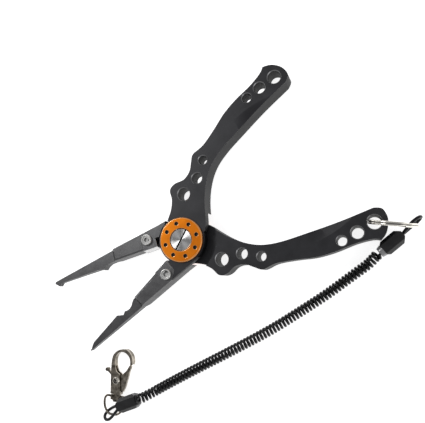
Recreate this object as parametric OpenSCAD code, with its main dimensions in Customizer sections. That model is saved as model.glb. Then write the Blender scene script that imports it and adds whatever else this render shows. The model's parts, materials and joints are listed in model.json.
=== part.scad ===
// Aluminium fishing pliers, open on their return spring, with a coil lanyard.
// The handles lie flat, X runs from the jaw tips to the handle ends, and Z is up.
// The origin is under the middle of the pliers, on the surface they rest on.

/* [Overall] */
// Thickness of the handles and of the jaw roots
body_t = 11.5; // [11:0.1:12]
// Height of the handles above the surface, the rear nut's reach below them
lift = 3; // [2.9:0.05:3.2]
// Gap between the two lap plates
lap_gap = 0.3; // [0.2:0.05:0.4]

/* [Handles] */
// Radius of each lap plate round the pivot
lap_r = 13.8; // [13.6:0.1:14]
// Radius inside which a handle is only half as thick
relief_r = 21; // [20.8:0.1:21.4]
// Chamfer on the rims of the handle holes
rim = 0.45; // [0.2:0.05:0.6]
// Bore radius of the hole at the end of each handle
end_hole_r = 3.75; // [3.75:0.05:3.9]

/* [Pivot] */
// Outer radius of the two anodised pivot rings
ring_r = 12.9; // [12.5:0.1:13.2]
// Inner radius of the pivot rings
ring_bore_r = 6.7; // [6.65:0.05:7]
// Height of the pivot rings above the handle faces
ring_h = 1.5; // [1.2:0.1:1.6]
// Number of blind holes in each pivot ring
ring_holes = 8; // [6:1:10]
// Radius of the pivot bolt's head
head_r = 6.5; // [6:0.1:6.5]
// Radius of the pivot bolt's shank
shank_r = 4; // [3.5:0.1:4]
// Width of the screwdriver slot
slot_w = 0.9; // [0.6:0.1:1.4]

/* [Jaws] */
// Half opening of the jaw on the rear handle, in degrees
rear_open = 14.2; // [14:0.1:14.4]
// Half opening of the jaw on the front handle, in degrees
front_open = 14.9; // [14.7:0.1:15.1]
// Distance from the pivot to the tip of the split-ring jaw
ring_jaw_l = 88.9; // [88:0.1:90]
// Distance from the pivot to the tip of the plain jaw
plain_jaw_l = 87.6; // [87:0.1:88]
// Thickness of a jaw at the root of its slim nose
nose_root_t = 6.2; // [5.5:0.1:7]
// Thickness of a jaw at its tip
nose_tip_t = 3.2; // [2.4:0.1:4]

/* [Lanyard] */
// Outer diameter of the coiled cord
coil_d = 5.8; // [5.4:0.1:6]
// Mean radius of the split ring
split_r = 12.05; // [11.9:0.05:12.1]
// Diameter of the split ring's wire
split_wire = 1.2; // [1:0.1:1.2]
// Diameter of the two end loops' cord
loop_d = 1.8; // [1.4:0.1:1.9]
// Length of each moulded connector
conn_l = 13; // [12:0.5:13.5]
// Width of each moulded connector
conn_w = 8.4; // [8:0.2:9]
// Height of each moulded connector
conn_h = 7.6; // [7.2:0.1:8]

/* [Clasp] */
// Thickness of the clasp
clasp_t = 4; // [3.6:0.1:4.4]
// Wire diameter of the clasp's eye
eye_wire = 1.4; // [1.2:0.1:1.5]

/* [Hidden] */
$fn = 64;
eps = 0.01;

handle_reach = 102.2;             // pivot to the far end of a handle
nose_reach = 86;                  // pivot to the jaw tips, as opened
pivot_x = (nose_reach - handle_reach) / 2;
mid = body_t / 2;
plate_t = (body_t - lap_gap) / 2; // thickness of one lap plate

// Colours
black = [0.13, 0.13, 0.14];
orange = [0.85, 0.42, 0.08];
gunmetal = [0.34, 0.34, 0.34];
carbide = [0.55, 0.56, 0.56];
steel = [0.78, 0.78, 0.78];
brass = [0.72, 0.58, 0.3];
plastic = [0.09, 0.09, 0.1];
nickel = [0.62, 0.59, 0.52];

// ---- curves ------------------------------------------------------------

// Smooth curve through the points p, with n steps between neighbours
function knot(p, i) = p[max(0, min(len(p) - 1, i))];
function spline_at(a, b, c, d, t) =
    0.5 * (2 * b + (c - a) * t + (2 * a - 5 * b + 4 * c - d) * t * t
        + (3 * b - a - 3 * c + d) * t * t * t);
function curve(p, n) = [
    for (i = [0 : len(p) - 2], k = [0 : n - 1])
        spline_at(knot(p, i - 1), p[i], p[i + 1], knot(p, i + 2), k / n),
    p[len(p) - 1]
];
function unit(v) = v / norm(v);
function flip(p) = [for (q = p) [-q[0], -q[1]]];

// Tube of radius r swept along 3-D points, closed at both ends. The path never
// runs along the direction ref, from which each ring's angles are counted.
module tube(p, r, sides, ref = [0, 0, 1]) {
    n = len(p);
    rings = [
        for (i = [0 : n - 1])
            let (
                t = unit(p[min(n - 1, i + 1)] - p[max(0, i - 1)]),
                side = unit(cross(ref, t)),
                up = cross(t, side)
            )
            for (k = [0 : sides - 1])
                p[i] + r * (cos(360 * k / sides) * side + sin(360 * k / sides) * up)
    ];
    walls = [
        for (i = [0 : n - 2], k = [0 : sides - 1])
            let (a = i * sides + k, b = i * sides + (k + 1) % sides)
            [a, a + sides, b + sides, b]
    ];
    start = [for (k = [0 : sides - 1]) k];
    end = [for (k = [sides - 1 : -1 : 0]) (n - 1) * sides + k];
    polyhedron(rings, concat([start], walls, [end]), convexity = 8);
}

// ---- handles -----------------------------------------------------------
// Both handles are one shape. It is drawn as the front one, with its grip on
// +Y and its lap plate on top, and turned over about X for the rear one.

outer_edge = [
    [-1.8, 14.4], [3.2, 18.5], [6.9, 23.6], [8.7, 29], [13, 30.7], [19.2, 29.7],
    [24.6, 31.9], [28.2, 36], [31.6, 39.4], [39.4, 40.4], [49.5, 44.4], [59.5, 49],
    [69.6, 51.9], [80.6, 53.8], [89, 56.4], [92.6, 58.8]
];
end_edge = [[92.6, 58.8], [97.4, 56.7], [101.3, 51.8], [101.9, 46], [98.4, 43]];
inner_edge = [
    [98.4, 43], [80.3, 39.8], [63.9, 36], [47.6, 31.8], [37.4, 27.2], [29.6, 20.4],
    [23.4, 11.9], [17.6, 0.8], [14.4, -3.4]
];
// Lightening holes: centre and bore radius
grip_holes = [
    [14.7, 22.3, 3.7], [26.2, 25.8, 3.1], [34.7, 33, 2.6],
    [75.4, 48.9, 2.7], [84.5, 49.5, 3.3], [94.7, 49.6, end_hole_r]
];
pocket_r = 8.4;                   // spring pocket
pocket_h = 1.6;
slot_end_r = 11;                  // how far the spring's leg slots reach
leg_slot_h = 1.1;
washer_r = [9.3, 12.7];           // thrust washer, inner and outer
washer_t = 0.6;
washer_seat = 0.35;               // depth of its groove in the rear plate
bushing_r = 4.9;
nose_plate_t = 2.9;               // lap plate's thin tongue over the jaw's tang
tang_gap_r = lap_r + 0.4;                // jaw root's clearance round the lap plates
// Tongue over the tang, in the jaw's closed frame
tongue = [[0, 14.7], [11.6, 12.9], [20.6, 11.7], [15.6, 8.7], [14.9, 5.4], [14.8, 2.6], [6, 2]];

module grip_hole(h) {
    translate([h[0], h[1], -eps]) cylinder(r = h[2], h = body_t + 2 * eps);
    translate([h[0], h[1], -eps]) cylinder(r1 = h[2] + rim, r2 = h[2], h = rim);
    translate([h[0], h[1], body_t - rim + eps]) cylinder(r1 = h[2], r2 = h[2] + rim, h = rim);
}

// One handle with its lap plate on top, bored for the pivot with radius bore
module handle_blank(open, bore) {
    difference() {
        union() {
            difference() {
                linear_extrude(body_t)
                    polygon(concat(curve(outer_edge, 5), curve(end_edge, 5),
                        curve(inner_edge, 5), [[6, 2]]));
                translate([0, 0, -eps]) cylinder(r = relief_r, h = body_t - plate_t + eps, $fn = 96);
            }
            translate([0, 0, body_t - plate_t]) cylinder(r = lap_r, h = plate_t, $fn = 96);
            translate([0, 0, body_t - nose_plate_t]) rotate([0, 0, open])
                linear_extrude(nose_plate_t) polygon(flip(tongue));
        }
        for (h = grip_holes) grip_hole(h);
        translate([0, 0, -eps]) cylinder(r = bore, h = body_t + 2 * eps);
        translate([0, 0, body_t - plate_t - eps]) cylinder(r = pocket_r, h = pocket_h + eps);
        rotate([0, 0, open]) for (p = tang_pins)
            translate([-p[0], -p[1], pin_low]) cylinder(r = pin_r, h = pin_top - pin_low, $fn = 24);
    }
}

leg_angle = 150;                  // direction of the spring's front leg
jaw_travel = rear_open + front_open;

module front_handle() {
    color(black) difference() {
        handle_blank(front_open, bushing_r);
        // Arc that clears the spring's leg while the handle closes
        translate([0, 0, body_t - plate_t + pocket_h - leg_slot_h])
            rotate([0, 0, leg_angle - 6]) rotate_extrude(angle = jaw_travel + 12)
                translate([pocket_r - 1, 0]) square([slot_end_r - pocket_r + 1, leg_slot_h]);
    }
}

module rear_handle() {
    color(black) difference() {
        translate([0, 0, body_t]) rotate([180, 0, 0]) handle_blank(rear_open, shank_r);
        // Groove for the thrust washer
        translate([0, 0, plate_t - washer_seat]) difference() {
            cylinder(r = washer_r[1], h = 1, $fn = 96);
            translate([0, 0, -eps]) cylinder(r = washer_r[0], h = 2);
        }
        // Slot for the spring's rear leg
        translate([pocket_r - 1, -leg_slot_h / 2, plate_t - pocket_h])
            cube([slot_end_r - pocket_r + 1, leg_slot_h, leg_slot_h]);
    }
}

// ---- jaws --------------------------------------------------------------
// Drawn closed, as the front jaw: its root at the pivot, its nose along -X
// and its biting edge on Y = 0. Outlines give distance forward and outward.

jaw_root_u = 43.3;                // end of the thick root
pocket_u = [15.5, 24.6];          // cutter pocket, from the pivot
pocket_v = 6.3;
screw_at = [20.7, 6.9];
screw_r = 1.5;
tang_pins = [[14.4, 10.6], [17.6, 10.9]];
pin_r = 0.8;
pin_low = 3;                      // both ends of the pins are hidden
pin_top = 10.3;

root_outline = [[6.4, 13.8], [11.6, 12.9], [45, 8.4]];
plain_edge = [
    [87.6, 2.5], [87.6, 2], [86.3, 1.9], [84.8, 1], [82.6, 0.2], [60.4, 0.2], [59.3, 1.4], [57.4, 2.9],
    [56.2, 2.6], [55, 2], [53.6, 2.9], [51.8, 3.3], [49.6, 2.9], [47.9, 1.9], [46.4, 1.3], [24.8, 1.2]
];
ring_edge = [
    [88.6, 2], [88.9, 0.8], [86.2, -1.5], [85, -0.6], [84.5, 0.02], [57, 0.02],
    [53.8, -1.1], [52, 0.4], [49.6, 1.4], [46.9, 1.6], [24.8, 1.6]
];

// Side profile of a jaw: thick root, then a slim nose that tapers to the tip
module side_profile(tip) {
    rotate([90, 0, 0]) linear_extrude(60, center = true) polygon([
        [0, -eps], [-jaw_root_u, -eps], [-45.2, mid - nose_root_t / 2],
        [-tip, mid - nose_tip_t / 2], [-tip, mid + nose_tip_t / 2],
        [-45.2, mid + nose_root_t / 2], [-jaw_root_u, body_t + eps], [0, body_t + eps]
    ]);
}

// Bevel that thins the biting edge of the root into a crimping flat
module crimp_bevel() {
    for (s = [0, 1]) translate([-34.7, 0, s * body_t]) rotate([45, 0, 0])
        cube([19.6, 3.6, 3.6], center = true);
}

module jaw_blank(open, edge, tip) {
    rotate([0, 0, open]) difference() {
        intersection() {
            linear_extrude(body_t) polygon(flip(concat(root_outline, edge, [[15, 1.6]])));
            side_profile(tip + 1);
        }
        translate([0, 0, -eps]) cylinder(r = tang_gap_r, h = body_t + 1, $fn = 96);
        // Cutter pocket, open towards the pivot
        translate([-pocket_u[1], -pocket_v, -eps])
            cube([pocket_u[1] - 8, pocket_v + 3, body_t + 1]);
        crimp_bevel();
        translate([-screw_at[0], -screw_at[1], -eps]) cylinder(r = screw_r, h = body_t + 1, $fn = 32);
        for (p = tang_pins)
            translate([-p[0], -p[1], pin_low]) cylinder(r = pin_r, h = pin_top - pin_low, $fn = 24);
        // Step that lies under the handle's tongue
        translate([0, 0, body_t - nose_plate_t]) linear_extrude(body_t)
            polygon(flip(concat([[0, 20], [20.8, 12.2]], [for (i = [2 : 6]) tongue[i]])));
    }
}

module plain_jaw() {
    color(gunmetal) jaw_blank(front_open, plain_edge, plain_jaw_l);
}

module split_ring_jaw() {
    color(gunmetal) translate([0, 0, body_t]) rotate([180, 0, 0])
        jaw_blank(rear_open, ring_edge, ring_jaw_l);
}

// Carbide bar with a V edge on the jaws' meeting line
cutter_inset = 0.2;
module cutter_bar(open) {
    rotate([0, 0, open]) difference() {
        translate([-pocket_u[1] + 0.1, 0, 0]) rotate([90, 0, 90])
            linear_extrude(pocket_u[1] - pocket_u[0] - 0.1) polygon([
                [-0.04, mid], [-1.1, cutter_inset], [-pocket_v, cutter_inset],
                [-pocket_v, body_t - cutter_inset], [-1.1, body_t - cutter_inset]
            ]);
        translate([-screw_at[0], -screw_at[1], -eps]) cylinder(r = screw_r, h = body_t + 1, $fn = 32);
    }
}

module front_cutter() {
    color(carbide) cutter_bar(front_open);
}

module rear_cutter() {
    color(carbide) mirror([0, 1, 0]) cutter_bar(rear_open);
}

// Screw with a dished round head and a hexagon socket
module cutter_screw(open) {
    head_h = 1.6;
    dish_r = 2.3;
    rotate([0, 0, open]) translate([-screw_at[0], -screw_at[1], 0]) difference() {
        union() {
            translate([0, 0, 1.5]) cylinder(r = screw_r - 0.02, h = body_t - 1.5 + eps, $fn = 32);
            translate([0, 0, body_t]) cylinder(r = 3.1, h = head_h - 0.4, $fn = 48);
            translate([0, 0, body_t + head_h - 0.4]) cylinder(r1 = 3.1, r2 = 2.8, h = 0.4, $fn = 48);
        }
        translate([0, 0, body_t + head_h - 0.5]) cylinder(r = dish_r, h = 1, $fn = 48);
        translate([0, 0, body_t + 0.1]) cylinder(r = 1.35, h = 3, $fn = 6);
    }
}

module front_cutter_screw() {
    color(steel) cutter_screw(front_open);
}

module rear_cutter_screw() {
    color(steel) mirror([0, 1, 0]) cutter_screw(rear_open);
}

module tang_pin_pair(open) {
    rotate([0, 0, open]) for (p = tang_pins)
        translate([-p[0], -p[1], pin_low]) cylinder(r = pin_r, h = pin_top - pin_low, $fn = 24);
}

module front_tang_pins() {
    color(steel) tang_pin_pair(front_open);
}

module rear_tang_pins() {
    color(steel) translate([0, 0, body_t]) rotate([180, 0, 0]) tang_pin_pair(rear_open);
}

// ---- pivot -------------------------------------------------------------

ring_hole_r = 1.15;
ring_hole_circle = 9.77;
ring_hole_phase = 30.6;
head_h = 1.05;
head_washer_t = 0.25;
bolt_head_z = body_t + 0.3;

// Ring on a face at z = 0, with blind holes in its outer side
module pivot_ring() {
    bevel = 0.4;
    difference() {
        union() {
            cylinder(r = ring_r, h = ring_h - bevel, $fn = 96);
            translate([0, 0, ring_h - bevel])
                cylinder(r1 = ring_r, r2 = ring_r - bevel, h = bevel, $fn = 96);
        }
        translate([0, 0, -eps]) cylinder(r = ring_bore_r, h = ring_h + 1);
        for (k = [0 : ring_holes - 1]) rotate([0, 0, ring_hole_phase + 360 * k / ring_holes])
            translate([ring_hole_circle, 0, ring_h - 0.9]) cylinder(r = ring_hole_r, h = 2, $fn = 24);
    }
}

module front_pivot_ring() {
    color(orange) translate([0, 0, body_t]) pivot_ring();
}

module rear_pivot_ring() {
    color(orange) rotate([180, 0, 0]) pivot_ring();
}

module pivot_bolt() {
    color(steel) difference() {
        union() {
            translate([0, 0, bolt_head_z]) cylinder(r = head_r, h = head_h - 0.3, $fn = 72);
            translate([0, 0, bolt_head_z + head_h - 0.3])
                cylinder(r1 = head_r, r2 = head_r - 0.3, h = 0.3, $fn = 72);
            translate([0, 0, -lift + 0.6]) cylinder(r = shank_r, h = bolt_head_z + lift - 0.6 + eps);
        }
        rotate([0, 0, ring_hole_phase]) translate([-10, -slot_w / 2, bolt_head_z + 0.4])
            cube([20, slot_w, 3]);
    }
}

// Round nut that clamps the rear ring's middle, with two spanner holes
module pivot_nut() {
    nut_bevel = 0.4;
    color(steel) translate([0, 0, -lift]) difference() {
        union() {
            cylinder(r1 = head_r - nut_bevel, r2 = head_r, h = nut_bevel);
            translate([0, 0, nut_bevel]) cylinder(r = head_r, h = lift - nut_bevel);
        }
        translate([0, 0, -eps]) cylinder(r = shank_r, h = lift + 1);
        for (a = [0, 180]) rotate([0, 0, a]) translate([5.2, 0, -eps])
            cylinder(r = 0.7, h = 1.2, $fn = 24);
    }
}

module pivot_bushing() {
    low = body_t - plate_t + pocket_h;
    color(brass) translate([0, 0, low]) difference() {
        cylinder(r = bushing_r, h = body_t - low);
        translate([0, 0, -eps]) cylinder(r = shank_r + 0.05, h = body_t);
    }
}

module head_washer() {
    color(brass) translate([0, 0, body_t]) difference() {
        cylinder(r = head_r - 0.2, h = head_washer_t);
        translate([0, 0, -eps]) cylinder(r = shank_r + 0.05, h = 2);
    }
}

module thrust_washer() {
    color(brass) translate([0, 0, plate_t - washer_seat]) difference() {
        cylinder(r = washer_r[1], h = washer_t, $fn = 96);
        translate([0, 0, -eps]) cylinder(r = washer_r[0], h = 2);
    }
}

// Torsion spring round the bolt, with a leg in a slot of each lap plate
spring_wire = 0.8;
spring_r = 6.4;
spring_low = plate_t - pocket_h + leg_slot_h / 2;
spring_high = body_t - plate_t + pocket_h - leg_slot_h / 2;
spring_turns = 2 + leg_angle / 360;
module return_spring() {
    steps = 60;
    leg_r = slot_end_r - 0.6;
    coil = [
        for (i = [0 : steps])
            let (a = 360 * spring_turns * i / steps)
            [spring_r * cos(a), spring_r * sin(a), spring_low + (spring_high - spring_low) * i / steps]
    ];
    last = coil[steps];
    color(steel) tube(concat(
        [[leg_r, -0.1, spring_low], [spring_r + 0.9, -0.1, spring_low]],
        [for (i = [1 : steps - 1]) coil[i]],
        [[cos(leg_angle) * (spring_r + 0.9), sin(leg_angle) * (spring_r + 0.9), last[2]],
         [cos(leg_angle) * leg_r, sin(leg_angle) * leg_r, last[2]]]
    ), spring_wire / 2, 8);
}

// ---- lanyard -----------------------------------------------------------
// Lies on the surface, on the rear handle's side. Heights are above the surface.

lanyard_hole = [grip_holes[5][0], -grip_holes[5][1]];
split_dir = -38.2;                // direction in which the split ring stands out
split_offset = 9.3;               // from the hole's axis to the ring's centre
split_lean = 6;                   // how far its top leans over towards the jaws
split_z = split_r + split_wire / 2 + 0.12;

module on_surface() {
    translate([0, 0, -lift]) children();
}

// Two turns of wire side by side, standing through the handle's end hole
module split_ring() {
    color(steel) on_surface() translate([lanyard_hole[0], lanyard_hole[1], split_z])
        rotate([0, 0, split_dir]) rotate([90 + split_lean, 0, 0]) translate([split_offset, 0, 0])
            for (s = [-1, 1]) translate([0, 0, s * (split_wire / 2 - 0.02)])
                rotate_extrude($fn = 96) translate([split_r, 0]) circle(r = split_wire / 2, $fn = 24);
}

// Frame of a connector: origin in the middle of its loop end, X towards the loop
upper_at = [103.6, -61.8, 4.4];
upper_dir = 8;
lower_at = [-86.2, -60.9, 5.9];
lower_dir = 170;
core_r = 1.6;                     // straight core of the cord inside a connector
upper_cone_l = 2.6;
lower_cone_l = 1;
crimp_l = 5;
crimp_gap = 2;                    // from the loop end to the crimp
crimp_r = 2.6;
mouth_r = 2.4;

module at_end(place, dir) {
    on_surface() translate(place) rotate([0, 0, dir]) children();
}

// Centre lines of the two loops, each from one leg in the crimp round to the other
upper_loop_path = [
    [-6.8, 0, 1], [-1, 0, 1], [3, 0.7, 2.5], [7.4, 1.5, 3.4], [11.2, 1.4, 2.7], [12.8, 0.5, 0.6],
    [12.2, -0.3, -1.6], [9.6, -0.6, -3], [6, -0.6, -3], [2.6, -0.4, -2.2], [-1, 0, -1], [-6.8, 0, -1]
];
lower_loop_path = [
    [-6.8, -0.7, -0.7], [-1, -0.7, -0.7], [2.6, -0.7, -2.1], [6.6, -0.4, -3.9], [10.4, 0.5, -4.6],
    [12.8, 2.2, -4.3], [12.6, 4.1, -3.3], [10.8, 5, -2.2], [7.8, 4.7, -1.2], [3, 2.6, 0.2],
    [-1, 0.7, 0.7], [-6.8, 0.7, 0.7]
];

module cord_loop(path, ref) {
    tube(curve(path, 4), loop_d / 2, 8, ref);
}

// Moulded block with chamfered edges, hollow for the crimp and the two cords
module connector() {
    edge = 1.7;
    taper = 2.6;
    difference() {
        intersection() {
            rotate([90, 0, -90]) linear_extrude(conn_l) polygon(octagon(conn_w, conn_h, edge));
            translate([0, 0, -10]) linear_extrude(20) polygon([
                [0, conn_w / 2 - taper], [-taper, conn_w / 2], [-conn_l + 1.5, conn_w / 2],
                [-conn_l, conn_w / 2 - 1.2], [-conn_l, 1.2 - conn_w / 2],
                [-conn_l + 1.5, -conn_w / 2], [-taper, -conn_w / 2], [0, taper - conn_w / 2]
            ]);
        }
        // Mouth for the loop's two legs
        translate([-crimp_gap, 0, 0]) rotate([0, 90, 0]) cylinder(r = mouth_r, h = 10, $fn = 48);
        translate([-crimp_gap - crimp_l, 0, 0]) rotate([0, 90, 0])
            cylinder(r = crimp_r, h = crimp_l + eps, $fn = 48);
        translate([-conn_l - 1, 0, 0]) rotate([0, 90, 0]) cylinder(r = core_r, h = conn_l, $fn = 32);
    }
}

function octagon(w, h, c) = [
    [w / 2 - c, -h / 2], [w / 2, c - h / 2], [w / 2, h / 2 - c], [w / 2 - c, h / 2],
    [c - w / 2, h / 2], [-w / 2, h / 2 - c], [-w / 2, c - h / 2], [c - w / 2, -h / 2]
];

// Metal sleeve that grips the loop's legs on one side and the coil's core on the other
module crimp() {
    translate([-crimp_gap - crimp_l, 0, 0]) rotate([0, 90, 0]) difference() {
        cylinder(r = crimp_r, h = crimp_l, $fn = 48);
        translate([0, 0, -eps]) cylinder(r = crimp_r - 0.4, h = crimp_l + 1, $fn = 48);
    }
}

// Smooth cone between the connector and the first turn of the coil
module nose_cone(l) {
    translate([-conn_l, 0, 0]) rotate([0, -90, 0]) difference() {
        cylinder(r1 = 3.4, r2 = 2.8, h = l, $fn = 48);
        translate([0, 0, -eps]) cylinder(r = core_r, h = l + 1, $fn = 32);
    }
}

module upper_loop() {
    color(plastic) at_end(upper_at, upper_dir) cord_loop(upper_loop_path, [0, 1, -0.3]);
}

module upper_connector() {
    color(plastic) at_end(upper_at, upper_dir) connector();
}

module upper_crimp() {
    color(steel) at_end(upper_at, upper_dir) crimp();
}

module upper_nose_cone() {
    color(plastic) at_end(upper_at, upper_dir) nose_cone(upper_cone_l);
}

module lower_loop() {
    color(plastic) at_end(lower_at, lower_dir) cord_loop(lower_loop_path, [0, -0.55, 0.83]);
}

module lower_connector() {
    color(plastic) at_end(lower_at, lower_dir) connector();
}

module lower_crimp() {
    color(steel) at_end(lower_at, lower_dir) crimp();
}

module lower_nose_cone() {
    color(plastic) at_end(lower_at, lower_dir) nose_cone(lower_cone_l);
}

// The coil's envelope, from one nose cone to the other
function behind(place, dir, l) = place - [cos(dir), sin(dir), 0] * l;
coil_z = coil_d / 2 + 0.3;
coil_mid = [
    [80.5, -65.6], [74, -66.2], [64, -67], [54, -67.8], [44, -68.2], [31, -68.5], [20, -68.6],
    [9, -68.3], [-4, -67.6], [-17, -66.8], [-30, -65.9], [-43, -65.1], [-54, -64.5], [-61.5, -64.2]
];
upper_cone_end = conn_l + upper_cone_l + 0.05;
lower_cone_end = conn_l + lower_cone_l + 0.05;
lead = 2.5;                       // straight start of the coil at each cone
square_end = 0.8;                 // its first part, before the curve starts

module coil_cord() {
    start = behind(upper_at, upper_dir, upper_cone_end);
    finish = behind(lower_at, lower_dir, lower_cone_end);
    route = concat(
        [for (l = [square_end, lead]) behind(upper_at, upper_dir, upper_cone_end + l)],
        [for (q = coil_mid) [q[0], q[1], coil_z]],
        [for (l = [lead, square_end]) behind(lower_at, lower_dir, lower_cone_end + l)]
    );
    color(plastic) on_surface() tube(concat([start], curve(route, 2), [finish]), coil_d / 2, 12);
}

// ---- clasp -------------------------------------------------------------
// Own frame: X along the clasp, from its eye to the top of the hook, Y to the
// back of the hook, Z = 0 in its middle plane.

clasp_at = [-86.9, -55];
clasp_dir = 50.4;
clasp_z = 2.65;
eye_turn = 17;                    // how far the eye has turned on the swivel
rivet_at = [9.7, 0.5];
rivet_r = 2.3;
rivet_h = 0.5;
gate_t = 1.9;
gate_gap = 0.15;

hook_back = [[2.4, 2.9], [6.5, 3.5], [12.2, 4.4], [16.2, 4.9], [20.9, 5.2], [24.4, 4.6], [27.2, 2.2],
    [28.6, -1.4], [28.2, -4.2], [26, -6.9], [22.9, -8.2], [20.4, -8.3]];
hook_inside = [[20.6, -7], [22.9, -6.6], [25.1, -5.3], [26.7, -2.8], [26.8, -0.2], [25.8, 1.7], [23.6, 3],
    [20.8, 3.2], [17.4, 2.4], [15, 1.1], [13.8, -1.2]];
gate_outline = [[20.1, -6.5], [19, -7.6], [16, -6.8], [11.9, -6.3], [7, -5.6], [3.9, -4.7], [4.2, -2.6],
    [6.9, 0.5], [8, 2.8], [11.4, 2.8], [12.5, 0.4], [13.9, -2.7], [16.2, -4.7]];

module at_clasp() {
    on_surface() translate([clasp_at[0], clasp_at[1], clasp_z]) rotate([0, 0, clasp_dir]) children();
}

module clasp_hook() {
    color(nickel) at_clasp() difference() {
        translate([0, 0, -clasp_t / 2]) linear_extrude(clasp_t) polygon(concat(
            curve(hook_back, 4), curve(hook_inside, 4), [[12.2, -1.6], [7.6, -2.4], [2.4, -3.4]]));
        // Slot for the gate and window for its thumb lever
        translate([1, -12, -gate_t / 2 - gate_gap]) cube([17, 15, gate_t + 2 * gate_gap]);
        translate([8.6, -4, -gate_t / 2 - gate_gap]) cube([6.6, 12, gate_t + 2 * gate_gap]);
        translate([rivet_at[0], rivet_at[1], -5]) cylinder(r = 1.2, h = 10, $fn = 32);
        // Notch that takes the gate's end
        translate([16.8, -12, -gate_t / 2 - gate_gap]) cube([3.9, 5.2, gate_t + 2 * gate_gap]);
    }
    color(nickel) at_clasp() clasp_heel();
}

// Solid heel of the clasp, which holds the swivel pin
module clasp_heel() {
    difference() {
        translate([1.9, -3.3, -clasp_t / 2]) cube([1.4, 6.3, clasp_t]);
        rotate([0, 90, 0]) cylinder(r = 1, h = 10, $fn = 32);
    }
}

module clasp_gate() {
    stud = [14.9, 7.9];
    color(nickel) at_clasp() difference() {
        union() {
            translate([0, 0, -gate_t / 2]) linear_extrude(gate_t) polygon(gate_outline);
            // Thumb lever through the window in the hook's back
            translate([rivet_at[0], rivet_at[1], -0.5]) rotate([0, 0, 55]) translate([0, -0.7, 0])
                cube([9, 1.4, 1]);
            translate([stud[0], stud[1], -1.1]) cylinder(r = 1.15, h = 2.2, $fn = 32);
        }
        translate([rivet_at[0], rivet_at[1], -5]) cylinder(r = 1.25, h = 10, $fn = 32);
        // Room for the gate's spring
        translate([rivet_at[0], rivet_at[1], -0.1]) cylinder(r = 2.2, h = 3, $fn = 32);
    }
}

module gate_rivet() {
    color(nickel) at_clasp() translate([rivet_at[0], rivet_at[1], 0]) {
        translate([0, 0, -clasp_t / 2]) cylinder(r = 1.2, h = clasp_t, $fn = 32);
        for (s = [0, 1]) mirror([0, 0, s]) translate([0, 0, clasp_t / 2]) difference() {
            cylinder(r1 = rivet_r, r2 = rivet_r - 0.5, h = rivet_h, $fn = 48);
            translate([0, 0, 0.1]) cylinder(r = 0.6, h = 1, $fn = 24);
        }
    }
}

module gate_spring() {
    turns = 2.2;
    steps = 36;
    color(steel) at_clasp() translate([rivet_at[0], rivet_at[1], 0.15]) tube([
        for (i = [0 : steps]) let (a = 360 * turns * i / steps)
            [1.7 * cos(a), 1.7 * sin(a), 0.1 + 0.55 * i / steps]
    ], 0.12, 6);
}

// D-shaped eye with the collar that turns on the swivel pin
module swivel_eye() {
    collar = [2.8, 6.6, 3.4];
    w = 5.2;
    color(nickel) at_clasp() rotate([eye_turn, 0, 0]) difference() {
        union() {
            // Barrel-shaped collar: a block with its long edges turned round
            translate([-1.4, 0, 0]) intersection() {
                translate([0, -collar[1] / 2, -collar[2] / 2]) cube(collar);
                rotate([0, 90, 0]) cylinder(r = 3.1, h = collar[0], $fn = 48);
            }
            eye_path = curve([[0, 1.6], [0.3, w], [-2.5, w + 1.1], [-7, w], [-9.9, 2.6], [-10.3, 0],
                [-9.9, -2.6], [-7, -w], [-2.5, -w - 1.1], [0.3, -w], [0, -1.6]], 4);
            tube([for (q = eye_path) [q[0], q[1], 0]], eye_wire / 2, 10);
        }
        translate([-3, 0, 0]) rotate([0, 90, 0]) cylinder(r = 1.05, h = 8, $fn = 32);
    }
}

module swivel_pin() {
    color(nickel) at_clasp() rotate([0, 90, 0]) {
        translate([0, 0, -1.7]) cylinder(r = 1, h = 5, $fn = 32);
        translate([0, 0, -2.7]) cylinder(r1 = 1.4, r2 = 1.8, h = 1, $fn = 32);
    }
}

translate([pivot_x, 0, lift]) {
    front_handle();
    rear_handle();
    plain_jaw();
    split_ring_jaw();
    front_cutter();
    rear_cutter();
    front_cutter_screw();
    rear_cutter_screw();
    front_tang_pins();
    rear_tang_pins();
    front_pivot_ring();
    rear_pivot_ring();
    pivot_bolt();
    pivot_nut();
    pivot_bushing();
    head_washer();
    thrust_washer();
    return_spring();
    split_ring();
    upper_loop();
    upper_connector();
    upper_crimp();
    upper_nose_cone();
    coil_cord();
    lower_nose_cone();
    lower_connector();
    lower_crimp();
    lower_loop();
    swivel_eye();
    swivel_pin();
    clasp_hook();
    clasp_gate();
    gate_rivet();
    gate_spring();
}
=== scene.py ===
"""Aluminium fishing pliers with a coil lanyard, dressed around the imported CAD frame."""
import json
import math

import bmesh
import bpy
from mathutils import Matrix, Vector


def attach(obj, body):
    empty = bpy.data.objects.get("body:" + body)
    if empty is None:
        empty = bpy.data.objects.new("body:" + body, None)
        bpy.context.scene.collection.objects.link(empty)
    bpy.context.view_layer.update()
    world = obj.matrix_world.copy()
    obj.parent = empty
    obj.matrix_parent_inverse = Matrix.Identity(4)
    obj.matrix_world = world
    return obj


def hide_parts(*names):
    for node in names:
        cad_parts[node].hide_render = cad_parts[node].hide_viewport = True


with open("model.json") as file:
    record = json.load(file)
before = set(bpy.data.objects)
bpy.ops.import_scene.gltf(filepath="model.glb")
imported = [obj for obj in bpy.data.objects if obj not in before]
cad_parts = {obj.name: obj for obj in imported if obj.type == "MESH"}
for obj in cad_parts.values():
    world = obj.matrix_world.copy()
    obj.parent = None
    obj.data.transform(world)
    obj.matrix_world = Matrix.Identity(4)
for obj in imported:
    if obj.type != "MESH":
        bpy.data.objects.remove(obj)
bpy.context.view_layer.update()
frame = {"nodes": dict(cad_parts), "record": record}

MM = 0.001
NODES = frame["nodes"]
BODY = {n: b for b, names in frame["record"]["behaviour"]["bodies"].items() for n in names}
PIVOT_X = -8.1
scene = bpy.context.scene


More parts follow.
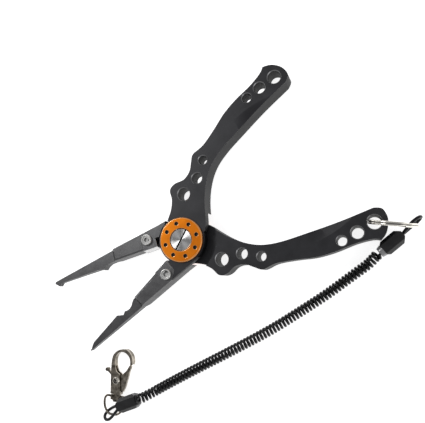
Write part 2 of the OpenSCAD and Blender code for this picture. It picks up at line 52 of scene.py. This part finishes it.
def row(x, y, z=0.0):
    """A point in millimetres from the pivot's axis and the resting surface, in the row frame."""
    return Vector(((x + PIVOT_X) * MM, y * MM, z * MM))


# ---- camera --------------------------------------------------------------

cam_data = bpy.data.cameras.new("camera")
cam_data.lens = 45.25
cam_data.sensor_width = 36.0
cam_data.clip_start = 0.01
cam_data.clip_end = 20.0
camera = bpy.data.objects.new("camera", cam_data)
scene.collection.objects.link(camera)
right = Vector((0.81625, -0.49544, -0.29712))
up = Vector((0.54835, 0.82620, 0.12877))
back = Vector((0.18168, -0.26804, 0.94606))
turn = Matrix((right, up, back)).transposed()
camera.matrix_world = Matrix.Translation(row(79.4, -77.8, 302.5)) @ turn.to_4x4()
scene.camera = camera


# ---- materials -----------------------------------------------------------

def new_material(name, base, metallic, rough, **sockets):
    mat = bpy.data.materials.new(name)
    mat.use_nodes = True
    tree = mat.node_tree
    bsdf = tree.nodes["Principled BSDF"]
    bsdf.inputs["Base Color"].default_value = (*base, 1)
    bsdf.inputs["Metallic"].default_value = metallic
    bsdf.inputs["Roughness"].default_value = rough
    for key, value in sockets.items():
        bsdf.inputs[key.replace("_", " ")].default_value = value
    return mat, tree, bsdf


def node(tree, kind, **props):
    n = tree.nodes.new(kind)
    for key, value in props.items():
        if hasattr(n, key):
            setattr(n, key, value)
        else:
            n.inputs[key.replace("_", " ")].default_value = value
    return n


def coords(tree, scale=(1, 1, 1), rotation=(0, 0, 0), location=(0, 0, 0)):
    tex = node(tree, "ShaderNodeTexCoord")
    mapping = node(tree, "ShaderNodeMapping")
    mapping.inputs["Scale"].default_value = scale
    mapping.inputs["Rotation"].default_value = rotation
    mapping.inputs["Location"].default_value = location
    tree.links.new(tex.outputs["Object"], mapping.inputs["Vector"])
    return mapping.outputs["Vector"]


def noise(tree, vector, scale, detail=3.0, rough=0.55):
    n = node(tree, "ShaderNodeTexNoise", Scale=scale, Detail=detail, Roughness=rough)
    tree.links.new(vector, n.inputs["Vector"])
    return n.outputs["Fac"]


def ramp(tree, fac, low, high, a, b):
    """Colour or grey that runs from a to b as fac goes from low to high."""
    r = node(tree, "ShaderNodeValToRGB")
    r.color_ramp.elements[0].position = low
    r.color_ramp.elements[1].position = high
    r.color_ramp.elements[0].color = (*a, 1) if len(a) == 3 else a
    r.color_ramp.elements[1].color = (*b, 1) if len(b) == 3 else b
    tree.links.new(fac, r.inputs["Fac"])
    return r.outputs["Color"]


def span(tree, fac, low, high, a, b):
    """Number that runs from a to b as fac goes from low to high."""
    m = node(tree, "ShaderNodeMapRange")
    for key, value in (("From Min", low), ("From Max", high), ("To Min", a), ("To Max", b)):
        m.inputs[key].default_value = value
    tree.links.new(fac, m.inputs["Value"])
    return m.outputs["Result"]


def bump(tree, bsdf, height, distance, strength=1.0):
    b = node(tree, "ShaderNodeBump", Distance=distance, Strength=strength)
    tree.links.new(height, b.inputs["Height"])
    if bsdf.inputs["Normal"].is_linked:
        tree.links.new(bsdf.inputs["Normal"].links[0].from_socket, b.inputs["Normal"])
    tree.links.new(b.outputs["Normal"], bsdf.inputs["Normal"])


def link(tree, value, bsdf, socket):
    tree.links.new(value, bsdf.inputs[socket])


def blasted_metal(name, dark, light, metallic, rough, grain=5200.0, depth=0.000012, blotches=90.0):
    """Bead-blasted and anodised: a fine even grain, faint blotches and handling marks."""
    mat, tree, bsdf = new_material(name, dark, metallic, rough)
    vec = coords(tree)
    fine = noise(tree, vec, grain, 2.0, 0.6)
    blotch = noise(tree, vec, blotches, 4.0, 0.6)
    link(tree, ramp(tree, blotch, 0.3, 0.72, dark, light), bsdf, "Base Color")
    link(tree, span(tree, blotch, 0.25, 0.75, rough - 0.05, rough + 0.07), bsdf, "Roughness")
    bump(tree, bsdf, fine, depth, 0.8)
    return mat


def add_grip_facet(mat, middle, radius, first, last, slope):
    """Shallow facet on the inner side of each grip, bounded by a long arc about middle.

    The handles mirror one another about the X axis, so the arc is drawn once.
    """
    tree = mat.node_tree
    bsdf = tree.nodes["Principled BSDF"]
    parts = node(tree, "ShaderNodeSeparateXYZ")
    tree.links.new(coords(tree), parts.inputs["Vector"])
    mirrored = node(tree, "ShaderNodeMath", operation="ABSOLUTE")
    tree.links.new(parts.outputs["Y"], mirrored.inputs[0])
    joined = node(tree, "ShaderNodeCombineXYZ")
    tree.links.new(parts.outputs["X"], joined.inputs["X"])
    tree.links.new(mirrored.outputs["Value"], joined.inputs["Y"])
    apart = node(tree, "ShaderNodeVectorMath", operation="DISTANCE")
    apart.inputs[1].default_value = middle
    tree.links.new(joined.outputs["Vector"], apart.inputs[0])
    width = 6 * MM
    rise = span(tree, apart.outputs["Value"], radius - width, radius, 0.0, 1.0)
    fade_in = span(tree, parts.outputs["X"], first, first + 8 * MM, 0.0, 1.0)
    fade_out = span(tree, parts.outputs["X"], last - 3 * MM, last, 1.0, 0.0)
    strength = node(tree, "ShaderNodeMath", operation="MULTIPLY")
    tree.links.new(fade_in, strength.inputs[0])
    tree.links.new(fade_out, strength.inputs[1])
    depth = node(tree, "ShaderNodeMath", operation="SUBTRACT")
    depth.inputs[1].default_value = 1.0
    tree.links.new(rise, depth.inputs[0])
    height = node(tree, "ShaderNodeMath", operation="MULTIPLY")
    tree.links.new(depth.outputs["Value"], height.inputs[0])
    tree.links.new(strength.outputs["Value"], height.inputs[1])
    bump(tree, bsdf, height.outputs["Value"], width * slope, 1.0)


def brushed_metal(name, dark, light, rough, stretch, grain=900.0, depth=0.000006, metallic=1.0):
    """Ground or brushed along one axis: long fine scratches."""
    mat, tree, bsdf = new_material(name, dark, metallic, rough)
    lines = noise(tree, coords(tree, stretch), grain, 4.0, 0.65)
    blotch = noise(tree, coords(tree), 160.0, 3.0, 0.6)
    link(tree, ramp(tree, lines, 0.25, 0.75, dark, light), bsdf, "Base Color")
    link(tree, span(tree, blotch, 0.3, 0.7, rough - 0.06, rough + 0.08), bsdf, "Roughness")
    bump(tree, bsdf, lines, depth, 0.8)
    return mat


def lathe_rings_and_sheen(name, dark, light, rough, centre, pitch=2600.0, anisotropic=0.8):
    """Faced on a lathe: fine rings about the Z axis through centre, and the fan of light they give,
    painted into the colour as a highlight in bright and dark sectors.
    """
    mat, tree, bsdf = new_material(name, dark, 1.0, rough)
    bsdf.inputs["Anisotropic"].default_value = anisotropic
    vec = coords(tree, location=[-c for c in centre])
    tex = node(tree, "ShaderNodeVectorMath", operation="LENGTH")
    flat = node(tree, "ShaderNodeVectorMath", operation="MULTIPLY")
    flat.inputs[1].default_value = (1, 1, 0)
    tree.links.new(vec, flat.inputs[0])
    tree.links.new(flat.outputs["Vector"], tex.inputs[0])
    rings = node(tree, "ShaderNodeTexNoise", noise_dimensions="1D", Scale=pitch, Detail=3.0)
    tree.links.new(tex.outputs["Value"], rings.inputs["W"])
    parts = node(tree, "ShaderNodeSeparateXYZ")
    tree.links.new(vec, parts.inputs["Vector"])
    angle = node(tree, "ShaderNodeMath", operation="ARCTAN2")
    tree.links.new(parts.outputs["Y"], angle.inputs[0])
    tree.links.new(parts.outputs["X"], angle.inputs[1])
    # Painted highlight: four bright and four dark sectors about the axis.
    fan = node(tree, "ShaderNodeMath", operation="MULTIPLY_ADD")
    fan.inputs[1].default_value = 4.0
    fan.inputs[2].default_value = 0.9
    tree.links.new(angle.outputs["Value"], fan.inputs[0])
    painted_sheen = node(tree, "ShaderNodeMath", operation="SINE")
    tree.links.new(fan.outputs["Value"], painted_sheen.inputs[0])
    both = node(tree, "ShaderNodeMath", operation="MULTIPLY_ADD")
    both.inputs[1].default_value = 0.3
    tree.links.new(painted_sheen.outputs["Value"], both.inputs[0])
    tree.links.new(rings.outputs["Fac"], both.inputs[2])
    around = noise(tree, vec, 500.0, 2.0)
    link(tree, ramp(tree, both.outputs["Value"], 0.15, 0.85, dark, light), bsdf, "Base Color")
    link(tree, span(tree, around, 0.3, 0.7, rough - 0.04, rough + 0.06), bsdf, "Roughness")
    tangent = node(tree, "ShaderNodeTangent", direction_type="RADIAL", axis="Z")
    tree.links.new(tangent.outputs["Tangent"], bsdf.inputs["Tangent"])
    bump(tree, bsdf, rings.outputs["Fac"], 0.000004, 0.5)
    return mat


def wire_with_groove_shade(name, dark, light, rough, centre, across, half):
    """Plated wire wound in two turns: bright, with painted shade in the groove between the turns."""
    mat, tree, bsdf = new_material(name, light, 1.0, rough)
    vec = coords(tree, location=[-c for c in centre])
    off = node(tree, "ShaderNodeVectorMath", operation="DOT_PRODUCT")
    off.inputs[1].default_value = across
    tree.links.new(vec, off.inputs[0])
    depth = node(tree, "ShaderNodeMath", operation="ABSOLUTE")
    tree.links.new(off.outputs["Value"], depth.inputs[0])
    wear_and_shade_noise = noise(tree, coords(tree), 700.0, 3.0)
    mixed = node(tree, "ShaderNodeMath", operation="MULTIPLY_ADD")
    mixed.inputs[1].default_value = half * 0.5
    tree.links.new(wear_and_shade_noise, mixed.inputs[0])
    tree.links.new(depth.outputs["Value"], mixed.inputs[2])
    # Painted shade: darker towards the groove between the two turns.
    groove_shade = span(tree, mixed.outputs["Value"], half * 0.3, half * 0.75, 0.0, 1.0)
    link(tree, ramp(tree, groove_shade, 0.0, 1.0, dark, light), bsdf, "Base Color")
    link(tree, span(tree, wear_and_shade_noise, 0.3, 0.7, rough - 0.05, rough + 0.08), bsdf, "Roughness")
    bump(tree, bsdf, wear_and_shade_noise, 0.000004, 0.5)
    return mat


def moulded_plastic(name, dark, light, rough, coat=0.0, grain=1500.0, depth=0.00001, specular=0.5):
    """Moulded plastic or rubber: a fine skin texture, a little uneven in gloss."""
    mat, tree, bsdf = new_material(name, dark, 0.0, rough)
    bsdf.inputs["Specular IOR Level"].default_value = specular
    bsdf.inputs["Coat Weight"].default_value = coat
    bsdf.inputs["Coat Roughness"].default_value = 0.12
    vec = coords(tree)
    fine = noise(tree, vec, grain, 3.0)
    wide = noise(tree, vec, 160.0, 3.0)
    link(tree, ramp(tree, wide, 0.3, 0.7, dark, light), bsdf, "Base Color")
    link(tree, span(tree, wide, 0.3, 0.7, rough - 0.05, rough + 0.08), bsdf, "Roughness")
    bump(tree, bsdf, fine, depth, 0.6)
    return mat


BLACK = blasted_metal("handle_black", (0.018, 0.018, 0.0205), (0.032, 0.032, 0.0365), 0.2, 0.4)
add_grip_facet(BLACK, row(73.2, -16), 59 * MM, row(62, 0).x, row(88.5, 0).x, 0.22)
# Handle rounding and chamfers: a brighter copy of the handle finish, a painted highlight. Upright walls: a
# darker copy, painted shade.
BLACK_HIGHLIGHT = blasted_metal("handle_painted_highlight", (0.2, 0.2, 0.205), (0.34, 0.34, 0.35), 0.8, 0.3)
BLACK_SHADE = blasted_metal("handle_painted_shade", (0.005, 0.005, 0.0055), (0.01, 0.01, 0.011), 0.0, 0.5)
BLACK_SHADE.node_tree.nodes["Principled BSDF"].inputs["Specular IOR Level"].default_value = 0.25
ORANGE = blasted_metal("ring_orange", (0.8, 0.2, 0.004), (0.92, 0.27, 0.012), 0.85, 0.34,
                       grain=4000.0, depth=0.000006)
# Brighter orange on the ring's rounded rims: a painted highlight.
ORANGE_HIGHLIGHT = blasted_metal("ring_edge", (0.95, 0.5, 0.2), (1.0, 0.62, 0.3), 0.5, 0.22)
# Dark brown laid into holes, the bolt's slot and the rivet's dimples: painted shade.
SHADE = blasted_metal("recess_painted_shade", (0.008, 0.006, 0.005), (0.016, 0.011, 0.008), 0.1, 0.6)
GUN = brushed_metal("jaw_gunmetal", (0.09, 0.09, 0.092), (0.19, 0.19, 0.192), 0.36, (1, 6, 6),
                    depth=0.000008)
# Jaw walls: a darker copy of the gunmetal, painted shade. Jaw rounding: a brighter copy, a painted
# highlight.
GUN_SHADE = brushed_metal("jaw_painted_shade", (0.04, 0.04, 0.041), (0.09, 0.09, 0.092), 0.4, (1, 1, 6))
GUN_HIGHLIGHT = brushed_metal("jaw_painted_highlight", (0.3, 0.3, 0.3), (0.5, 0.5, 0.5), 0.28, (1, 4, 4))
CARBIDE = brushed_metal("cutter_carbide", (0.12, 0.12, 0.123), (0.22, 0.22, 0.224), 0.33, (1, 1, 9))
# Near-white on the cutters' ground bevels and rounding: a painted highlight.
CARBIDE_HIGHLIGHT = brushed_metal("cutter_painted_highlight", (0.7, 0.7, 0.7), (0.9, 0.9, 0.9), 0.2, (1, 1, 6), metallic=0.6)
SCREW = brushed_metal("screw_steel", (0.66, 0.66, 0.64), (0.86, 0.86, 0.84), 0.2, (1, 1, 3), metallic=0.55)
# Dark steel in the dish of each screw head: painted shade.
SCREW_SHADE = brushed_metal("screw_painted_shade", (0.05, 0.05, 0.048), (0.16, 0.16, 0.155), 0.3, (1, 1, 1),
                           grain=1500.0)
BOLT = lathe_rings_and_sheen("bolt_rings_and_sheen", (0.42, 0.42, 0.41), (0.95, 0.95, 0.94), 0.26, row(0, 0))
BRONZE = lathe_rings_and_sheen("bronze_rings_and_sheen", (0.3, 0.18, 0.07), (0.42, 0.27, 0.12), 0.34, row(0, 0))
CAST = blasted_metal("clasp_nickel", (0.04, 0.031, 0.02), (0.6, 0.54, 0.45), 0.95, 0.16,
                     grain=1500.0, depth=0.00001, blotches=300.0)
# Dark brown on the clasp's rounded edges: painted shade.
CAST_SHADE = blasted_metal("clasp_painted_shade", (0.03, 0.024, 0.016), (0.1, 0.08, 0.055), 0.9, 0.24,
                          grain=1500.0, depth=0.000006)
RIVET = blasted_metal("rivet_nickel", (0.7, 0.66, 0.58), (0.85, 0.82, 0.75), 0.7, 0.16,
                      grain=1500.0, depth=0.000004)
PLASTIC = moulded_plastic("connector_plastic", (0.01, 0.01, 0.0105), (0.019, 0.019, 0.0195), 0.3)
CORD = moulded_plastic("cord_urethane", (0.004, 0.004, 0.0045), (0.008, 0.008, 0.009), 0.25, specular=0.3)
# Lighter grey on the upper nose cone, where the lower one is black: a painted highlight.
NOSE_HIGHLIGHT = moulded_plastic("sleeve_painted_highlight", (0.2, 0.2, 0.205), (0.34, 0.34, 0.345), 0.2, 0.6)


# ---- mesh helpers ----------------------------------------------------------

def finish_mesh(name, bm, mats, sharp=38.0):
    """Object from bm, smooth but for edges sharper than the given angle."""
    bmesh.ops.recalc_face_normals(bm, faces=bm.faces)
    for f in bm.faces:
        f.smooth = True
    for e in bm.edges:
        e.smooth = not (len(e.link_faces) == 2 and e.calc_face_angle(0) > math.radians(sharp))
    mesh = bpy.data.meshes.new(name)
    bm.to_mesh(mesh)
    bm.free()
    for m in mats:
        mesh.materials.append(m)
    obj = bpy.data.objects.new(name, mesh)
    scene.collection.objects.link(obj)
    return obj


def stand_for(obj, *names):
    """obj takes the place of the named CAD nodes, on the first one's body."""
    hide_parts(*names)
    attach(obj, BODY[names[0]])
    return obj


def rounded(name, width, mats, segments=2, angle=32.0, paint=None, edge=None):
    """The CAD solid with its sharp edges rounded off, the rounding in the material numbered edge.

    paint gives a face's material number from its middle, in millimetres, and its normal, or None.
    """
    bm = bmesh.new()
    bm.from_mesh(NODES[name].data)
    bmesh.ops.remove_doubles(bm, verts=bm.verts, dist=1e-6)
    bmesh.ops.dissolve_limit(bm, angle_limit=math.radians(0.6), verts=bm.verts, edges=bm.edges)
    for f in bm.faces:
        f.material_index = 0
    edges = [e for e in bm.edges if len(e.link_faces) == 2 and e.calc_face_angle(0) > math.radians(angle)]
    bmesh.ops.bevel(bm, geom=edges, offset=width * MM, offset_type="OFFSET", segments=segments,
                    profile=0.6, affect="EDGES", clamp_overlap=True,
                    material=len(mats) - 1 if edge is None else edge)
    if paint:
        bm.normal_update()
        for f in bm.faces:
            number = paint(f.calc_center_median() / MM - Vector((PIVOT_X, 0, 0)), f.normal)
            if number is not None:
                f.material_index = number
    obj = finish_mesh("v_" + name, bm, mats, 50.0)
    weights = obj.modifiers.new("weights", "WEIGHTED_NORMAL")
    weights.keep_sharp = True
    return stand_for(obj, name)


def smooth_curve(points, steps):
    """Catmull-Rom curve through points, the same as in the CAD source."""
    out = []
    n = len(points)
    for i in range(n - 1):
        a, b, c, d = (points[max(0, min(n - 1, i + k))] for k in (-1, 0, 1, 2))
        for k in range(steps):
            t = k / steps
            out.append(0.5 * (2 * b + (c - a) * t + (2 * a - 5 * b + 4 * c - d) * t * t
                              + (3 * b - a - 3 * c + d) * t ** 3))
    out.append(points[-1].copy())
    return out


def tube(bm, path, radius, sides):
    """Sweeps a circle along path with frames that don't twist, and caps the ends."""
    n = len(path)
    tangents = []
    for i in range(n):
        a, b = path[max(0, i - 1)], path[min(n - 1, i + 1)]
        tangents.append((b - a).normalized())
    side = tangents[0].orthogonal().normalized()
    rings = []
    for i in range(n):
        t = tangents[i]
        side = (side - t * side.dot(t)).normalized()
        up_dir = t.cross(side)
        ring = []
        for k in range(sides):
            a = 2 * math.pi * k / sides
            ring.append(bm.verts.new(path[i] + (side * math.cos(a) + up_dir * math.sin(a)) * radius))
        rings.append(ring)
    for i in range(n - 1):
        for k in range(sides):
            j = (k + 1) % sides
            bm.faces.new((rings[i][k], rings[i][j], rings[i + 1][j], rings[i + 1][k]))
    bm.faces.new(rings[0])
    bm.faces.new(rings[-1])


# ---- coiled cord -----------------------------------------------------------

CONN_L = 13.0
UPPER_CONE_L = 2.6
LOWER_CONE_L = 1.0
LEAD = 2.5
SQUARE_END = 0.8
UPPER_AT, UPPER_DIR = (103.6, -61.8, 4.4), 8.0
LOWER_AT, LOWER_DIR = (-86.2, -60.9, 5.9), 170.0
COIL_D = 6.2
COIL_Z = 3.2
WIRE_D = 1.55
TURNS = 76
COIL_MID = [
    (80.5, -65.6), (74, -66.2), (64, -67), (54, -67.8), (44, -68.2), (31, -68.5), (20, -68.6),
    (9, -68.3), (-4, -67.6), (-17, -66.8), (-30, -65.9), (-43, -65.1), (-54, -64.5), (-61.5, -64.2)
]


def end_frame(at, direction):
    """Frame of a connector: X towards its loop, origin in the middle of its loop end."""
    a = math.radians(direction)
    m = Matrix(((math.cos(a), -math.sin(a), 0), (math.sin(a), math.cos(a), 0), (0, 0, 1))).to_4x4()
    return Matrix.Translation(row(*at)) @ m


UPPER = end_frame(UPPER_AT, UPPER_DIR)
LOWER = end_frame(LOWER_AT, LOWER_DIR)


def coil_route():
    """Centre line of the coil, from the upper nose cone to the lower one."""
    upper_end = CONN_L + UPPER_CONE_L + 0.05
    lower_end = CONN_L + LOWER_CONE_L + 0.05
    middle = [row(x, y, COIL_Z) for x, y in COIL_MID]
    first = [UPPER @ Vector((-(upper_end + d) * MM, 0, 0)) for d in (0, SQUARE_END, LEAD)]
    last = [LOWER @ Vector((-(lower_end + d) * MM, 0, 0)) for d in (LEAD, SQUARE_END, 0)]
    route = first[:1] + smooth_curve(first[1:] + middle + last[:-1], 24) + last[-1:]
    for p in route:
        p.z = max(p.z, COIL_Z * MM)
    return route


def helix(route, turns, radius, wire_steps, inset):
    """Winds a helix about route, from inset behind one end to inset before the other."""
    lengths = [0.0]
    for a, b in zip(route, route[1:]):
        lengths.append(lengths[-1] + (b - a).length)
    total = lengths[-1]
    side = Vector((0, 0, 1))
    out = []
    seg = 0
    count = int(turns * wire_steps)
    for i in range(count + 1):
        s = inset + (total - 2 * inset) * i / count
        while seg < len(route) - 2 and lengths[seg + 1] < s:
            seg += 1
        f = (s - lengths[seg]) / (lengths[seg + 1] - lengths[seg])
        centre = route[seg].lerp(route[seg + 1], f)
        before, after = route[max(0, seg - 1)], route[min(len(route) - 1, seg + 2)]
        t = (after - before).normalized()
        side = (side - t * side.dot(t)).normalized()
        up_dir = t.cross(side)
        ease = min(1.0, i / (0.25 * wire_steps), (count - i) / (0.25 * wire_steps))
        r = radius * (0.8 + 0.2 * ease * ease * (3 - 2 * ease))
        a = -2 * math.pi * i / wire_steps
        out.append(centre + (side * math.cos(a) + up_dir * math.sin(a)) * r)
    return out


coil_path = helix(coil_route(), TURNS, (COIL_D - WIRE_D) / 2 * MM, 20, (WIRE_D / 2 + 0.08) * MM)
bm = bmesh.new()
tube(bm, coil_path, WIRE_D / 2 * MM, 10)
coil = finish_mesh("v_coil_cord", bm, [CORD], 60.0)
stand_for(coil, "coil_cord")

UPPER_LOOP = [
    (-6.8, 0, 1), (-1, 0, 1), (3, 0.7, 2.5), (7.4, 1.5, 3.4), (11.2, 1.4, 2.7), (12.8, 0.9, 0.6),
    (12.2, 0.5, -1.6), (9.6, 0.2, -3), (6, 0.2, -3), (2.6, 0.1, -2.2), (-1, 0, -1), (-6.8, 0, -1)
]
LOWER_LOOP = [
    (-6.8, -0.7, -0.7), (-1, -0.7, -0.7), (2.6, -0.7, -2.1), (6.6, -0.4, -3.9), (10.4, 0.5, -4.6),
    (12.8, 2.2, -4.3), (12.6, 4.1, -3.3), (10.8, 5, -2.2), (7.8, 4.7, -1.2), (3, 2.6, 0.2),
    (-1, 0.7, 0.7), (-6.8, 0.7, 0.7)
]
LOOP_D = 1.8


def loop_piece(name, place, points):
    """One of the lanyard's end loops, its points in its connector's frame."""
    path = smooth_curve([place @ (Vector(p) * MM) for p in points], 8)
    bm = bmesh.new()
    tube(bm, path, LOOP_D / 2 * MM, 16)
    return stand_for(finish_mesh("v_" + name, bm, [CORD], 60.0), name)


upper_loop = loop_piece("upper_loop", UPPER, UPPER_LOOP)
lower_loop = loop_piece("lower_loop", LOWER, LOWER_LOOP)

# ---- split ring --------------------------------------------------------------

SPLIT_R = 12.05
SPLIT_WIRE = 1.2
SPLIT_DIR = -38.2
SPLIT_HOLE = (94.7, -49.6)
SPLIT_OFFSET = 9.3
SPLIT_LEAN = 6.0


def split_ring():
    """Two turns of wire that step sideways once, where the ring's ends pass."""
    a = math.radians(SPLIT_DIR)
    e1 = Vector((math.cos(a), math.sin(a), 0))
    lean = math.radians(SPLIT_LEAN)
    e2 = Vector((math.sin(a) * math.sin(lean), -math.cos(a) * math.sin(lean), math.cos(lean)))
    across = e1.cross(e2)
    centre = row(*SPLIT_HOLE, SPLIT_R + SPLIT_WIRE / 2 + 0.12) + e1 * SPLIT_OFFSET * MM
    path = []
    steps = 120
    for i in range(2 * steps + 1):
        turn_at = i / steps
        step = min(1.0, max(0.0, (turn_at - 0.9) / 0.2))
        shift = (step * step * (3 - 2 * step) - 0.5) * 0.97 * SPLIT_WIRE * MM
        w = 2 * math.pi * turn_at + math.radians(62)
        path.append(centre + (e1 * math.cos(w) + e2 * math.sin(w)) * SPLIT_R * MM + across * shift)
    bm = bmesh.new()
    tube(bm, path, SPLIT_WIRE / 2 * MM, 16)
    nickel = wire_with_groove_shade("nickel_groove_shade", (0.03, 0.022, 0.014), (0.85, 0.82, 0.75), 0.14,
                          centre, across, SPLIT_WIRE * MM / 2)
    return stand_for(finish_mesh("v_split_ring", bm, [nickel], 50.0), "split_ring")


ring = split_ring()

# ---- pliers --------------------------------------------------------------------

# Millimetres from the pivot's axis and the resting surface, as in the CAD source
LIFT = 3.0
BODY_T = 11.5
MID_Z = LIFT + BODY_T / 2
TOP_Z = LIFT + BODY_T
RING_H = 1.5
SLOT_TURN = math.radians(30.6)
RING_HOLES = [SLOT_TURN + math.radians(45 * k) for k in range(8)]
RING_HOLE_AT = 9.77
SCREW_AT = {
    "front": (-20.7, -6.9, 14.9),
    "rear": (-20.7, 6.9, -14.2),
}


def screw_axis(side):
    """Middle of a cutter screw, turned with its jaw."""
    x, y, turned = SCREW_AT[side]
    a = math.radians(turned)
    return Vector((x * math.cos(a) - y * math.sin(a), x * math.sin(a) + y * math.cos(a)))


def ring_hole_shade(p, normal):
    """Painted shade on the walls and floors of the pivot ring's blind holes, on either side of the pliers.
    """
    if abs(p.z - MID_Z) > BODY_T / 2 + RING_H - 0.02:
        return None
    for a in RING_HOLES:
        for side_y in (1, -1):
            if (p.xy - Vector((math.cos(a), side_y * math.sin(a))) * RING_HOLE_AT).length < 1.3:
                return 2
    return None


def handle_highlight_and_shade(p, normal):
    """Painted highlight on the chamfers round a handle's holes, and painted shade on its upright walls."""
    if abs(normal.z) < 0.15:
        return 2
    return 1 if 0.3 < abs(normal.z) < 0.93 else None


def jaw_wall_shade(p, normal):
    """Painted shade on a jaw's upright walls."""
    return 2 if abs(normal.z) < 0.15 else None


def bolt_slot_shade(p, normal):
    """Painted shade on the walls and floor of the screwdriver slot."""
    off_slot = abs(p.y * math.cos(SLOT_TURN) - p.x * math.sin(SLOT_TURN))
    in_depth = TOP_Z + 0.5 < p.z < TOP_Z + 1.22
    return 1 if in_depth and off_slot < 0.47 and p.xy.length < 6.45 else None


def screw_head_shade(side):
    """Painted shade in the dish of a screw's head, but for the bright floor of its socket."""
    axis = screw_axis(side)

    def paint(p, normal):
        d = (p.xy - axis).length
        if d > 2.32 or not TOP_Z + 0.05 <= p.z <= TOP_Z + 1.12:
            return None
        return 1 if d > 1.1 else 0
    return paint


def cutter_bevel_highlight(p, normal):
    """Painted highlight on the ground bevels of a cutter, which are neither level nor upright."""
    return 1 if 0.15 < abs(normal.z) < 0.97 else None


for side in ("front", "rear"):
    rounded(side + "_handle", 0.4, [BLACK, BLACK_HIGHLIGHT, BLACK_SHADE], paint=handle_highlight_and_shade, edge=1)
    rounded(side + "_cutter", 0.12, [CARBIDE, CARBIDE_HIGHLIGHT], paint=cutter_bevel_highlight)
    rounded(side + "_cutter_screw", 0.12, [SCREW, SCREW_SHADE], paint=screw_head_shade(side), edge=0)
    rounded(side + "_pivot_ring", 0.15, [ORANGE, ORANGE_HIGHLIGHT, SHADE], paint=ring_hole_shade, edge=1)
rounded("plain_jaw", 0.25, [GUN, GUN_HIGHLIGHT, GUN_SHADE], paint=jaw_wall_shade, edge=1)
rounded("split_ring_jaw", 0.25, [GUN, GUN_HIGHLIGHT, GUN_SHADE], paint=jaw_wall_shade, edge=1)
rounded("pivot_bolt", 0.1, [BOLT, SHADE], paint=bolt_slot_shade, edge=0)
rounded("pivot_nut", 0.15, [BOLT, BOLT])
for name, mat in (("pivot_bushing", BRONZE), ("head_washer", BRONZE), ("thrust_washer", BRONZE),
                  ("front_tang_pins", SCREW), ("rear_tang_pins", SCREW), ("return_spring", SCREW),
                  ("gate_spring", SCREW), ("upper_crimp", SCREW), ("lower_crimp", SCREW)):
    slots = NODES[name].material_slots
    for s in slots:
        s.material = mat

# ---- lanyard ends and clasp -------------------------------------------------------

RIVET_AT = Vector((-81.102, -47.208))
CLASP_Z = 2.65


def rivet_dimple_shade(p, normal):
    """Painted shade in the dimple in the middle of each end of the clasp's rivet."""
    return 2 if (p.xy - RIVET_AT).length < 0.62 and abs(p.z - CLASP_Z) > 2.05 else None


on_cord = [upper_loop, lower_loop, ring]
for name in ("upper_connector", "lower_connector"):
    on_cord.append(rounded(name, 0.35, [PLASTIC, PLASTIC]))
# The upper nose cone is painted lighter grey as a highlight.
on_cord.append(rounded("upper_nose_cone", 0.3, [NOSE_HIGHLIGHT, NOSE_HIGHLIGHT], 3))
on_cord.append(rounded("lower_nose_cone", 0.3, [PLASTIC, PLASTIC], 3))
on_cord.append(rounded("clasp_hook", 0.35, [CAST, CAST_SHADE], 3))
on_cord.append(rounded("clasp_gate", 0.25, [CAST, CAST_SHADE], 2))
on_cord.append(rounded("gate_rivet", 0.15, [RIVET, RIVET, SHADE], 2, paint=rivet_dimple_shade, edge=0))
on_cord.append(rounded("swivel_pin", 0.15, [CAST, CAST_SHADE], 2))
on_cord.append(rounded("swivel_eye", 0.1, [CAST, CAST_SHADE], 1, 60.0))
on_cord += [NODES[n] for n in ("gate_spring", "upper_crimp", "lower_crimp")]

# ---- stage, light ---------------------------------------------------------------------

floor_mat, tree, bsdf = new_material("floor_pale", (0.93, 0.93, 0.93), 0.0, 0.9)
paper = noise(tree, coords(tree), 30.0, 4.0)
link(tree, ramp(tree, paper, 0.3, 0.7, (0.92, 0.92, 0.92), (0.94, 0.94, 0.94)), bsdf, "Base Color")
bsdf.inputs["Emission Color"].default_value = (1, 1, 1, 1)
bsdf.inputs["Emission Strength"].default_value = 0.8
bm = bmesh.new()
bmesh.ops.create_grid(bm, x_segments=1, y_segments=1, size=3.0)
floor = finish_mesh("floor", bm, [floor_mat])
floor.location.z = -0.00002

world = bpy.data.worlds.new("studio")
scene.world = world
world.use_nodes = True
tree = world.node_tree
background = tree.nodes["Background"]
tex = tree.nodes.new("ShaderNodeTexCoord")
split = tree.nodes.new("ShaderNodeSeparateXYZ")
tree.links.new(tex.outputs["Generated"], split.inputs["Vector"])
sky = ramp(tree, split.outputs["Z"], 0.0, 0.9, (0.62, 0.62, 0.62), (0.4, 0.4, 0.41))
tree.links.new(sky, background.inputs["Color"])
background.inputs["Strength"].default_value = 0.75


def area(name, place, target, size, power):
    """Square area light that points at target."""
    data = bpy.data.lights.new(name, "AREA")
    data.size = size
    data.energy = power
    obj = bpy.data.objects.new(name, data)
    scene.collection.objects.link(obj)
    obj.location = place
    obj.rotation_mode = "QUATERNION"
    obj.rotation_quaternion = (Vector(target) - Vector(place)).to_track_quat("-Z", "Y")
    return obj


area("key", (-0.25, 0.5, 0.58), (0, -0.01, 0), 0.25, 2.4)
area("low_front", (0.35, -0.55, 0.25), (0, -0.01, 0), 0.5, 0.9)
scene.view_settings.view_transform = "Standard"
